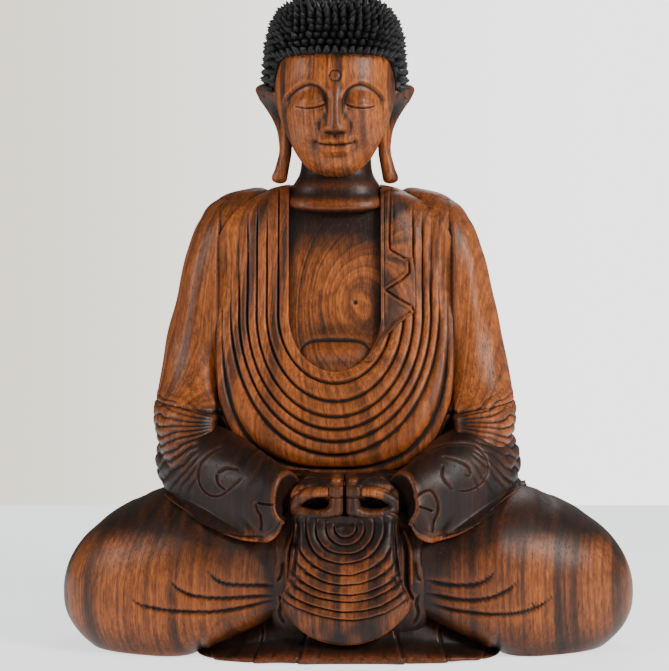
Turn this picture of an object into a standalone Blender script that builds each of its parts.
"""Seated buddha statue, carved in wood and joined from blocks with glue lines and loose dowels.

Metres, +Z up. The figure faces -Y, and the origin is the middle of its underside. Each carved block is
one closed solid. A block that lies against another is cut by it, with a glue line left between the two.
Every carved form is a stack of superellipse sections, so the block sizes below drive all of it.
"""

import bmesh
import bpy
import numpy as np

# Driving sizes
KNEE_SPAN = 0.407
BASE_DEPTH = 0.200
LAP_HEIGHT = 0.118
TORSO_HEIGHT = 0.219
CHEST_WIDTH = 0.190
CHEST_DEPTH = 0.104
ELBOW_SPAN = 0.272
HEAD_WIDTH = 0.092
HEAD_DEPTH = 0.106
HEAD_HEIGHT = 0.134
TOPKNOT_HEIGHT = 0.026
HAND_SPAN = 0.080
DRAPE_WIDTH = 0.091
LEAN = -0.0096  # the carver set the upper body a little to the figure's right

# Clearances
GLUE_LINE = 0.0005  # between blocks that lie against each other
DOWEL_FIT = 0.0003  # round a dowel, filled with glue
DOWEL_END = 0.0015  # past each end of a dowel

# Smaller sizes that stand on their own
NECK_WIDTH = 0.056
NECK_DEPTH = 0.052
HAIR_THICKNESS = 0.007
TOPKNOT_WIDTH = 0.064
EAR_REACH = 0.010
EAR_DEPTH = 0.028
LAPEL_WIDTH = 0.022
LAPEL_THICKNESS = 0.003
URNA_RADIUS = 0.0040
URNA_DEPTH = 0.0050
KNEE_TIP_HEIGHT = 0.038
SLEEVE_WIDTH = 0.052
CUFF_HEIGHT = 0.060
HAND_HEIGHT = 0.031
HEM_WIDTH = 0.216
HEM_HEIGHT = 0.034
HAND_X = -0.0030  # the hands and the drape stand between the lean of the body and the lap
DRAPE_X = -0.0020
NECK_DOWEL = (0.006, 0.052)  # radius and length
TOPKNOT_DOWEL = (0.004, 0.030)
BODY_DOWEL = (0.008, 0.060)
SHOULDER_DOWEL = (0.006, 0.040)
HIP_DOWEL = (0.007, 0.056)
DRAPE_DOWEL = (0.004, 0.026)

# Where the blocks meet
BACK = BASE_DEPTH / 2
FRONT = -BASE_DEPTH / 2
TORSO_FOOT = LAP_HEIGHT + GLUE_LINE
NECK_SEAT = LAP_HEIGHT + TORSO_HEIGHT
CHEST_BACK = BACK - 0.010
CHEST_FRONT = CHEST_BACK - CHEST_DEPTH
CROWN = NECK_SEAT + HEAD_HEIGHT
HEAD_Y = CHEST_BACK - 0.58 * CHEST_DEPTH - 0.010
SIDES = {"left": 1, "right": -1}  # the figure's own left is at +X

WOOD = ("carved_wood", (0.30, 0.12, 0.045, 1), 0.45)
WOOD_DARK = ("shaded_wood", (0.16, 0.07, 0.035, 1), 0.45)
HAIR_BLACK = ("black_stain", (0.015, 0.014, 0.014, 1), 0.40)
DOWEL_WOOD = ("plain_dowel", (0.62, 0.45, 0.28, 1), 0.70)


def clear_scene():
    for old in list(bpy.data.objects):
        bpy.data.objects.remove(old, do_unlink=True)


def finish_of(spec):
    """The Principled material of that name, made once."""
    name, colour, roughness = spec
    found = bpy.data.materials.get(name)
    if found:
        return found
    made = bpy.data.materials.new(name)
    made.use_nodes = True
    shader = made.node_tree.nodes["Principled BSDF"]
    shader.inputs["Base Color"].default_value = colour
    shader.inputs["Roughness"].default_value = roughness
    shader.inputs["Metallic"].default_value = 0.0
    return made


def eased(share):
    """0 to 1 with level ends, for a share that runs from below 0 to above 1."""
    share = np.clip(share, 0.0, 1.0)
    return share * share * (3 - 2 * share)


def dome(share, power):
    """1 at share 0, falling to 0 at share 1 as a superellipse does."""
    return (1 - np.clip(share, 0.0, 1.0) ** power) ** (1 / power)


def round_steps(count, last=1.0):
    """Shares from 0 towards 1 that crowd together where a dome closes."""
    return last * np.sin(np.linspace(0, np.pi / 2, count))


def along(table, shares):
    """Rows of the table read at these shares by a cubic curve through its points.

    The table's first column is the share at which each row stands.
    """
    table = np.asarray(table, float)
    at, rows = table[:, 0], table[:, 1:]
    slopes = np.gradient(rows, at, axis=0)
    i = np.clip(np.searchsorted(at, shares, side="right") - 1, 0, len(at) - 2)
    step = (at[i + 1] - at[i])[:, None]
    t = ((shares - at[i]) / (at[i + 1] - at[i]))[:, None]
    return (
        (2 * t**3 - 3 * t**2 + 1) * rows[i]
        + (t**3 - 2 * t**2 + t) * step * slopes[i]
        + (3 * t**2 - 2 * t**3) * rows[i + 1]
        + (t**3 - t**2) * step * slopes[i + 1]
    )


def section(segments, power):
    """Two arrays round a unit superellipse, starting on the first axis."""
    angle = np.linspace(0, 2 * np.pi, segments, endpoint=False)
    c, s = np.cos(angle), np.sin(angle)
    return (
        np.sign(c) * np.abs(c) ** (2 / power),
        np.sign(s) * np.abs(s) ** (2 / power),
    )


def flat_rings(heights, centre_x, half_x, front, back, segments=28, power=2.6):
    """Level sections: a ring at each height, with its half width and its front and back."""
    a, b = section(segments, power)
    rings = []
    for z, cx, hx, y0, y1 in zip(heights, centre_x, half_x, front, back):
        middle, half = (y0 + y1) / 2, (y1 - y0) / 2
        rings.append(np.stack([cx + hx * a, middle + half * b, np.full(segments, z)], axis=1))
    return rings


def upright_rings(places_x, front, back, bottom, top, segments=28, power=2.3):
    """Sections that stand across X: a ring at each place, with its front, back, bottom and top."""
    a, b = section(segments, power)
    rings = []
    for x, y0, y1, z0, z1 in zip(places_x, front, back, bottom, top):
        y = (y0 + y1) / 2 + (y1 - y0) / 2 * a
        z = (z0 + z1) / 2 + (z1 - z0) / 2 * b
        rings.append(np.stack([np.full(segments, x), y, np.maximum(z, 0.0)], axis=1))
    return rings


def block(name, rings, finish):
    """One closed body from a stack of rings: quads between them, and a flat cap on each end."""
    mesh = bpy.data.meshes.new(name)
    work = bmesh.new()
    loops = [[work.verts.new(p) for p in ring] for ring in rings]
    for near, far in zip(loops, loops[1:]):
        count = len(near)
        for i in range(count):
            j = (i + 1) % count
            work.faces.new((near[i], near[j], far[j], far[i]))
    work.faces.new(loops[0][::-1])
    work.faces.new(loops[-1])
    bmesh.ops.remove_doubles(work, verts=work.verts, dist=1e-6)
    bmesh.ops.triangulate(work, faces=work.faces)
    bmesh.ops.recalc_face_normals(work, faces=work.faces)
    work.to_mesh(mesh)
    work.free()
    mesh.shade_smooth()
    mesh.set_sharp_from_angle(angle=np.radians(40))
    mesh.materials.append(finish_of(finish))
    made = bpy.data.objects.new(name, mesh)
    bpy.context.scene.collection.objects.link(made)
    return made


def as_cutter(made, name):
    """Makes an object a helper that only cuts others."""
    made.name = name
    made.hide_render = True
    made.display_type = "WIRE"
    return made


def grown(form, by=GLUE_LINE):
    """A cutter of the same form, larger all over by the glue line."""
    name = form.name + "_room"
    found = bpy.data.objects.get(name)
    if found:
        return found
    copy = bpy.data.objects.new(name, form.data)
    bpy.context.scene.collection.objects.link(copy)
    swell = copy.modifiers.new("room", "DISPLACE")
    swell.strength = by
    swell.mid_level = 0.0
    return as_cutter(copy, name)


def combine(body, other, operation):
    made = body.modifiers.new(f"{operation.lower()}_{other.name}"[:60], "BOOLEAN")
    made.operation = operation
    made.solver = "EXACT"
    made.object = other


def fit_against(body, *neighbours):
    """Cuts the body back from each neighbour's own form, with the glue line between them."""
    for neighbour in neighbours:
        combine(body, grown(neighbour), "DIFFERENCE")


def turned(name, start, direction, radius, length, segments=20):
    """A plain round bar from a start point along a direction."""
    direction = np.array(direction, float)
    direction /= np.linalg.norm(direction)
    side = np.cross(direction, (0, 0, 1) if abs(direction[2]) < 0.9 else (1, 0, 0))
    side /= np.linalg.norm(side)
    up = np.cross(direction, side)
    angle = np.linspace(0, 2 * np.pi, segments, endpoint=False)[:, None]
    ring = radius * (np.cos(angle) * side + np.sin(angle) * up)
    start = np.array(start, float)
    return block(name, [start + ring, start + ring + length * direction], DOWEL_WOOD)


def dowel(name, middle, direction, size, blocks):
    """A loose dowel across a joint, with its hole drilled in each block that it holds."""
    radius, length = size
    direction = np.array(direction, float)
    made = turned(name, np.array(middle) - direction * length / 2, direction, radius, length)
    long = length + 2 * DOWEL_END
    hole = turned(
        name + "_hole", np.array(middle) - direction * long / 2, direction, radius + DOWEL_FIT, long
    )
    as_cutter(hole, name + "_hole")
    for body in blocks:
        combine(body, hole, "DIFFERENCE")
    return made


def make_seat():
    """The middle block of the lap and hips, which everything else is joined to."""
    table = (
        # height share, half width, front, back
        (0.00, 0.100, -0.060, BACK),
        (0.35, 0.104, -0.060, BACK),
        (0.70, 0.100, -0.058, BACK - 0.002),
        (1.00, 0.092, -0.054, BACK - 0.008),
    )
    shares = np.linspace(0, 1, 6)
    half, front, back = along(table, shares).T
    back = np.minimum(back, BACK)
    return block(
        "seat_block",
        flat_rings(shares * LAP_HEIGHT, np.full(6, LEAN / 2), half, front, back, 28, 3.0),
        WOOD,
    )


def torso_sections(shares):
    """Half width, front and back of the robed chest at shares of its height."""
    w, d, y = CHEST_WIDTH / 2, CHEST_DEPTH, CHEST_FRONT
    table = (
        (0.00, 0.90 * w, y - 0.14 * d, CHEST_BACK),
        (0.10, 0.96 * w, y - 0.23 * d, CHEST_BACK),
        (0.22, 1.00 * w, y - 0.24 * d, CHEST_BACK),
        (0.40, 1.00 * w, y - 0.15 * d, CHEST_BACK),
        (0.58, 0.98 * w, y - 0.03 * d, CHEST_BACK),
        (0.74, 0.95 * w, y + 0.02 * d, CHEST_BACK - 0.03 * d),
        (0.84, 0.88 * w, y + 0.04 * d, CHEST_BACK - 0.07 * d),
        (0.92, 0.74 * w, y + 0.08 * d, CHEST_BACK - 0.12 * d),
        (0.97, 0.58 * w, y + 0.13 * d, CHEST_BACK - 0.19 * d),
        (1.00, 0.42 * w, y + 0.20 * d, CHEST_BACK - 0.27 * d),
    )
    return along(table, shares).T


def make_torso():
    shares = np.array([0, 0.06, 0.14, 0.24, 0.36, 0.48, 0.60, 0.71, 0.79, 0.86, 0.92, 0.965, 1.0])
    half, front, back = torso_sections(shares)
    heights = TORSO_FOOT + shares * (TORSO_HEIGHT - GLUE_LINE)
    return block(
        "torso", flat_rings(heights, np.full(len(shares), LEAN), half, front, back, 30, 2.8), WOOD
    )


def make_leg(name, side):
    """A folded leg under its robe: a lobe from the ankles to the knee tip, flat where it stands."""
    inner = DRAPE_WIDTH / 2 + 0.0075
    outer = KNEE_SPAN / 2
    t = round_steps(13)
    closing = np.maximum(dome(t, 2.2), 0.05)
    tip_y = FRONT + 0.080
    front = tip_y - closing * (tip_y - FRONT - 0.016 + 0.008 * eased(t / 0.35))
    back = tip_y + closing * (BACK - 0.025 - tip_y)
    lap = LAP_HEIGHT - 0.013 + 0.017 * eased(t / 0.5)
    top = KNEE_TIP_HEIGHT + closing * (lap - KNEE_TIP_HEIGHT)
    under = 0.033 - 0.063 * eased(t / 0.62)
    bottom = KNEE_TIP_HEIGHT - closing * (KNEE_TIP_HEIGHT - under)
    places = side * (inner + t * (outer - inner))
    return block(name, upright_rings(places, front, back, bottom, top, 24, 2.3), WOOD)


def make_upper_sleeve(name, side):
    """The sleeve from the shoulder to the elbow. Its outer edge is the figure's outline."""
    reach = ELBOW_SPAN / 2
    table = (
        # height share, outer edge, half width, front, back
        (0.000, 0.905 * reach, 0.45 * SLEEVE_WIDTH, -0.004, 0.064),
        (0.134, 0.935 * reach, 0.50 * SLEEVE_WIDTH, -0.010, 0.069),
        (0.212, 0.970 * reach, 0.54 * SLEEVE_WIDTH, -0.014, 0.072),
        (0.300, 1.000 * reach, 0.56 * SLEEVE_WIDTH, -0.015, 0.074),
        (0.494, 0.955 * reach, 0.54 * SLEEVE_WIDTH, -0.010, 0.076),
        (0.653, 0.890 * reach, 0.54 * SLEEVE_WIDTH, -0.007, 0.076),
        (0.808, 0.830 * reach, 0.56 * SLEEVE_WIDTH, -0.004, 0.074),
        (0.908, 0.757 * reach, 0.52 * SLEEVE_WIDTH, 0.002, 0.070),
        (0.968, 0.670 * reach, 0.42 * SLEEVE_WIDTH, 0.012, 0.062),
        (1.000, 0.550 * reach, 0.24 * SLEEVE_WIDTH, 0.022, 0.052),
    )
    shares = np.array([0, 0.1, 0.19, 0.29, 0.41, 0.54, 0.67, 0.79, 0.88, 0.94, 0.98, 1.0])
    edge, half, front, back = along(table, shares).T
    heights = LAP_HEIGHT - 0.024 + shares * (TORSO_HEIGHT + 0.020)
    return block(
        name, flat_rings(heights, LEAN + side * (edge - half), half, front, back, 20, 2.3), WOOD
    )


def make_forearm_sleeve(name, side):
    """The wide sleeve from the elbow to the wrist, which hangs over the thigh."""
    reach = ELBOW_SPAN / 2
    wrist = HAND_SPAN / 2
    table = (
        # share, middle out from the body's axis, y, z above the lap, half height, half thickness
        (0.00, 0.78 * reach, 0.052, 0.014, 0.40 * CUFF_HEIGHT, 0.018),
        (0.18, 0.79 * reach, 0.026, 0.012, 0.52 * CUFF_HEIGHT, 0.028),
        (0.42, 0.75 * reach, -0.006, 0.008, 0.60 * CUFF_HEIGHT, 0.031),
        (0.66, 0.61 * reach, -0.038, 0.001, 0.60 * CUFF_HEIGHT, 0.029),
        (0.86, wrist + 0.024, -0.064, -0.006, 0.50 * CUFF_HEIGHT, 0.022),
        (1.00, wrist + 0.005, -0.078, -0.009, 0.36 * CUFF_HEIGHT, 0.017),
    )
    shares = np.linspace(0, 1, 12)
    out, y, rise, tall, thick = along(table, shares).T
    axis = LEAN * (1 - shares) + HAND_X * shares
    middle = np.stack([axis + side * out, y, LAP_HEIGHT + rise], axis=1)
    run = np.gradient(middle, axis=0)
    run[:, 2] = 0
    run /= np.linalg.norm(run, axis=1, keepdims=True)
    across = np.stack([-run[:, 1], run[:, 0], np.zeros(len(run))], axis=1)
    a, b = section(18, 2.2)
    rings = [
        m + thick[i] * a[:, None] * across[i] + tall[i] * b[:, None] * np.array((0, 0, 1))
        for i, m in enumerate(middle)
    ]
    return block(name, rings, WOOD_DARK)


def make_hand(name, side):
    """A cupped hand, from the knuckles at the middle line to the wrist inside the cuff."""
    t = round_steps(8, 0.96)
    closing = dome(t, 3.0)
    inner = GLUE_LINE / 2
    y, z = FRONT + 0.024, LAP_HEIGHT - 0.0045
    half_y = 0.017 * closing
    half_z = HAND_HEIGHT / 2 * closing
    places = HAND_X + side * (inner + t * (HAND_SPAN / 2 + 0.008))
    return block(
        name,
        upright_rings(places, y - half_y, y + half_y, z - half_z, z + half_z, 16, 2.6),
        WOOD_DARK,
    )


def make_ankles():
    """The cloth over the crossed ankles, which frames the hanging drape."""
    shares = np.linspace(0, 1, 9)
    half = (DRAPE_WIDTH / 2 + 0.007) * (0.82 + 0.18 * np.sin(np.pi * np.clip(shares * 1.2, 0, 1)))
    front = FRONT + 0.0115 + 0.012 * np.abs(2 * shares - 0.9) ** 2
    back = np.full(len(shares), -0.050)
    heights = HEM_HEIGHT * 0.4 + shares * (LAP_HEIGHT - 0.016 - HEM_HEIGHT * 0.4)
    return block(
        "ankle_cloth",
        flat_rings(heights, np.zeros(len(shares)), half, front, back, 20, 3.4),
        WOOD_DARK,
    )


def make_drape():
    """The shell-shaped fall of robe in front of the ankles: a bulging shield with a flat back."""
    t = np.linspace(-1, 1, 13)
    low, high = 0.0085, LAP_HEIGHT - 0.022
    a, b = section(24, 2.4)
    half = DRAPE_WIDTH / 2 * np.maximum(1 - np.abs(t) ** 2.3, 0.09) ** 0.5
    bulge = 0.003 + 0.017 * np.maximum(1 - np.abs(t) ** 2.6, 0.06) ** 0.7
    heights = (low + high) / 2 + t * (high - low) / 2
    rings = [
        np.stack([DRAPE_X + hx * a, FRONT + 0.020 + deep * np.minimum(b, 0), 0 * a + z], axis=1)
        for hx, deep, z in zip(half, bulge, heights)
    ]
    return block("hanging_drape", rings, WOOD)


def make_hem():
    """The pleated cloth spread under the legs, which the front of the figure stands on."""
    shares = np.array([0, 0.15, 0.4, 0.7, 1.0])
    half = HEM_WIDTH / 2 * (1 - 0.30 * shares)
    front = FRONT + 0.015 * shares
    back = np.full(len(shares), -0.045)
    return block(
        "hem_cloth",
        flat_rings(shares * HEM_HEIGHT, np.zeros(len(shares)), half, front, back, 24, 2.8),
        WOOD_DARK,
    )


def egg_sections(width, depth, height):
    """Half width, front and back of the head at these shares of its height, 0 at the chin."""
    height = np.asarray(height, float)
    power = 0.86 - 0.58 * eased((height - 0.5) / 0.3)
    round_half = (2 * np.sqrt(height * (1 - height))) ** power
    narrow = 0.80 + 0.20 * eased(height / 0.62)
    half = width / 2 * round_half * narrow
    middle = HEAD_Y - 0.10 * depth * (1 - height)
    deep = depth / 2 * round_half * (0.86 + 0.14 * eased(height / 0.7))
    return half, middle - deep, middle + deep


def make_egg(name, width, depth, low, high, finish, segments=22):
    """A head form standing on its small end: widest at the brow, narrow at the chin."""
    shares = (1 - np.cos(np.linspace(0.08, 0.965, 13) * np.pi)) / 2
    half, front, back = egg_sections(width, depth, shares)
    heights = low + shares * (high - low)
    return block(
        name, flat_rings(heights, np.full(13, LEAN), half, front, back, segments, 2.25), finish
    )


HEAD_LOW = NECK_SEAT + 0.002
HEAD_HIGH = CROWN - 0.006


def make_neck():
    shares = np.array([0.0, 0.3, 0.7, 1.0])
    half = NECK_WIDTH / 2 * (1.14 - 0.34 * shares + 0.20 * shares**2)
    deep = NECK_DEPTH / 2 * (1.12 - 0.24 * shares)
    middle = HEAD_Y + 0.006
    return block(
        "neck_form",
        flat_rings(
            NECK_SEAT + GLUE_LINE + shares * 0.044,
            np.full(4, LEAN),
            half,
            middle - deep,
            middle + deep,
            24,
            2.2,
        ),
        WOOD,
    )


def box(name, span_x, span_y, span_z):
    """A plain box that cuts others."""
    corners = [(span_x[i], span_y[j]) for i, j in ((0, 0), (1, 0), (1, 1), (0, 1))]
    rings = [np.array([(x, y, z) for x, y in corners]) for z in span_z]
    return as_cutter(block(name, rings, WOOD), name)


def make_hair():
    """The cap of hair, opened over the face, the ears' fronts and the neck."""
    grow = 2 * HAIR_THICKNESS
    hair = make_egg(
        "hair_cap", HEAD_WIDTH + grow, HEAD_DEPTH + grow, NECK_SEAT + 0.006, CROWN, HAIR_BLACK, 26
    )
    hairline = NECK_SEAT + 0.72 * HEAD_HEIGHT
    ear_top = NECK_SEAT + 0.50 * HEAD_HEIGHT
    nape = NECK_SEAT + 0.22 * HEAD_HEIGHT
    wide = (LEAN - HEAD_WIDTH, LEAN + HEAD_WIDTH)
    ahead, temple = HEAD_Y - HEAD_DEPTH, HEAD_Y - 0.14 * HEAD_DEPTH
    behind_ear = HEAD_Y + 0.16 * HEAD_DEPTH
    below = NECK_SEAT - 0.03
    gaps = (
        box("face_gap", wide, (ahead, temple), (below, hairline)),
        box("ear_gap", wide, (ahead - 0.001, behind_ear), (below - 0.001, ear_top)),
        box("nape_gap", wide, (ahead - 0.002, HEAD_Y + HEAD_DEPTH), (below - 0.002, nape)),
    )
    for gap in gaps:
        combine(hair, gap, "DIFFERENCE")
    return hair


def make_topknot():
    """The raised crown of the head, a low dome that stands in the hair."""
    t = np.linspace(0, 1, 8)
    polar = t * 0.47 * np.pi
    half = TOPKNOT_WIDTH / 2 * np.cos(polar) ** 0.8
    low = CROWN - 0.012
    heights = low + (TOPKNOT_HEIGHT + 0.012) * np.sin(polar) / np.sin(polar[-1])
    middle = HEAD_Y + 0.003
    return block(
        "topknot",
        flat_rings(heights, np.full(8, LEAN), half, middle - half, middle + half, 24, 2.1),
        HAIR_BLACK,
    )


def make_ear(name, side):
    """A long ear: a pointed shell at the top, a thin stem, and a heavy lobe over the shoulder."""
    out = HEAD_WIDTH / 2
    deep = EAR_DEPTH / 2
    rise = HEAD_HEIGHT * 0.56
    table = (
        # height share, middle out from the head's axis, half width, y, half depth
        (0.00, out - 0.0030, 0.0040, 0.002, 0.40 * deep),
        (0.05, out - 0.0034, 0.0050, 0.002, 0.55 * deep),
        (0.20, out - 0.0058, 0.0047, 0.002, 0.55 * deep),
        (0.40, out - 0.0072, 0.0044, 0.003, 0.65 * deep),
        (0.60, out - 0.0035, 0.0044, 0.004, 0.90 * deep),
        (0.80, out + 0.15 * EAR_REACH, 0.0048, 0.008, 1.00 * deep),
        (0.93, out + 0.46 * EAR_REACH, 0.0048, 0.011, 0.80 * deep),
        (1.00, out + 0.72 * EAR_REACH, 0.0028, 0.013, 0.35 * deep),
    )
    shares = np.array([0, 0.03, 0.1, 0.22, 0.36, 0.5, 0.64, 0.78, 0.88, 0.95, 1.0])
    centre, half, y, half_y = along(table, shares).T
    heights = NECK_SEAT + 0.0015 + shares * rise
    y = y + HEAD_Y - 0.004
    return block(
        name,
        flat_rings(heights, LEAN + side * centre, half, y - half_y, y + half_y, 18, 2.1),
        WOOD,
    )


def torso_front(shares, out):
    """How far forward the chest's surface stands at a distance out from its axis."""
    half, front, back = torso_sections(shares)
    bow = (1 - np.clip(out / half, 0, 1) ** 2.8) ** (1 / 2.8)
    return (front + back) / 2 - (back - front) / 2 * bow


def make_lapel():
    """The folded end of the robe over the left breast: a thin strip that ends in zig-zag folds."""
    inner = CHEST_WIDTH * 0.182
    table = (
        # height share, width as a share of the strip's own
        (0.478, 0.10),
        (0.520, 0.62),
        (0.562, 1.12),
        (0.588, 1.00),
        (0.632, 0.16),
        (0.652, 0.42),
        (0.694, 0.98),
        (0.735, 0.98),
        (0.830, 0.94),
        (0.900, 0.80),
        (0.955, 0.56),
    )
    shares = np.array([row[0] for row in table])
    width = LAPEL_WIDTH * np.array([row[1] for row in table])
    heights = TORSO_FOOT + shares * (TORSO_HEIGHT - GLUE_LINE)
    columns = np.linspace(0, 1, 4)
    rings = []
    for share, wide, z in zip(shares, width, heights):
        out = inner + columns * wide
        y = torso_front(np.full(4, share), out)
        near = np.stack([LEAN + out, y + LAPEL_THICKNESS, np.full(4, z)], axis=1)
        far = np.stack([LEAN + out, y - LAPEL_THICKNESS, np.full(4, z)], axis=1)
        rings.append(np.concatenate([near, far[::-1]]))
    return block("lapel", rings, WOOD_DARK)


def make_urna(head):
    """The round mark let into the forehead: a short plug, and the hole that it sits in."""
    share = 0.575
    z = HEAD_LOW + share * (HEAD_HIGH - HEAD_LOW)
    face = egg_sections(HEAD_WIDTH, HEAD_DEPTH, share)[1]
    ahead = (0, 1, 0)
    plug = turned("forehead_mark", (LEAN, face - 0.0008, z), ahead, URNA_RADIUS, URNA_DEPTH)
    hole = turned(
        "forehead_hole",
        (LEAN, face - 0.010, z),
        ahead,
        URNA_RADIUS + DOWEL_FIT,
        URNA_DEPTH + 0.010 - 0.0008 + GLUE_LINE,
    )
    combine(head, as_cutter(hole, "forehead_hole"), "DIFFERENCE")
    return plug


def main():
    clear_scene()
    seat, torso = make_seat(), make_torso()
    legs = {n: make_leg(f"leg_{n}", s) for n, s in SIDES.items()}
    upper = {n: make_upper_sleeve(f"upper_sleeve_{n}", s) for n, s in SIDES.items()}
    lower = {n: make_forearm_sleeve(f"forearm_sleeve_{n}", s) for n, s in SIDES.items()}
    hands = {n: make_hand(f"hand_{n}", s) for n, s in SIDES.items()}
    ears = {n: make_ear(f"ear_{n}", s) for n, s in SIDES.items()}
    ankles, drape, hem = make_ankles(), make_drape(), make_hem()
    head = make_egg("head", HEAD_WIDTH, HEAD_DEPTH, HEAD_LOW, HEAD_HIGH, WOOD)
    neck = make_neck()
    hair, topknot = make_hair(), make_topknot()
    lapel = make_lapel()

    combine(head, as_cutter(neck, "neck_form"), "UNION")
    make_urna(head)
    fit_against(hair, head, neck, *ears.values())
    fit_against(topknot, hair)
    fit_against(lapel, torso)
    for name in SIDES:
        fit_against(ears[name], head, torso)
        fit_against(legs[name], seat, torso)
        fit_against(upper[name], torso, legs[name], seat)
        fit_against(
            lower[name], torso, upper[name], legs[name], seat, hands[name], ankles, drape
        )
        fit_against(hands[name], ankles, drape, seat)
    fit_against(ankles, seat, drape)
    fit_against(hem, seat, ankles, drape, *legs.values())

    up, across, forward = (0, 0, 1), (1, 0, 0), (0, 1, 0)
    dowel("neck_dowel", (LEAN, HEAD_Y + 0.006, NECK_SEAT), up, NECK_DOWEL, (torso, head))
    dowel(
        "topknot_dowel", (LEAN, HEAD_Y, CROWN - 0.003), up, TOPKNOT_DOWEL, (head, hair, topknot)
    )
    shoulder_z = LAP_HEIGHT + 0.72 * TORSO_HEIGHT
    for name, side in SIDES.items():
        dowel(
            f"body_dowel_{name}",
            (LEAN + side * 0.045, 0.030, LAP_HEIGHT),
            up,
            BODY_DOWEL,
            (seat, torso),
        )
        dowel(
            f"shoulder_dowel_{name}",
            (LEAN + side * (CHEST_WIDTH / 2 - 0.006), 0.032, shoulder_z),
            across,
            SHOULDER_DOWEL,
            (torso, upper[name]),
        )
        dowel(
            f"hip_dowel_{name}",
            (LEAN / 2 + side * 0.104, 0.010, LAP_HEIGHT / 2),
            across,
            HIP_DOWEL,
            (seat, legs[name]),
        )
    dowel(
        "drape_dowel", (DRAPE_X, FRONT + 0.020, LAP_HEIGHT * 0.47), forward, DRAPE_DOWEL, (drape, ankles)
    )


main()
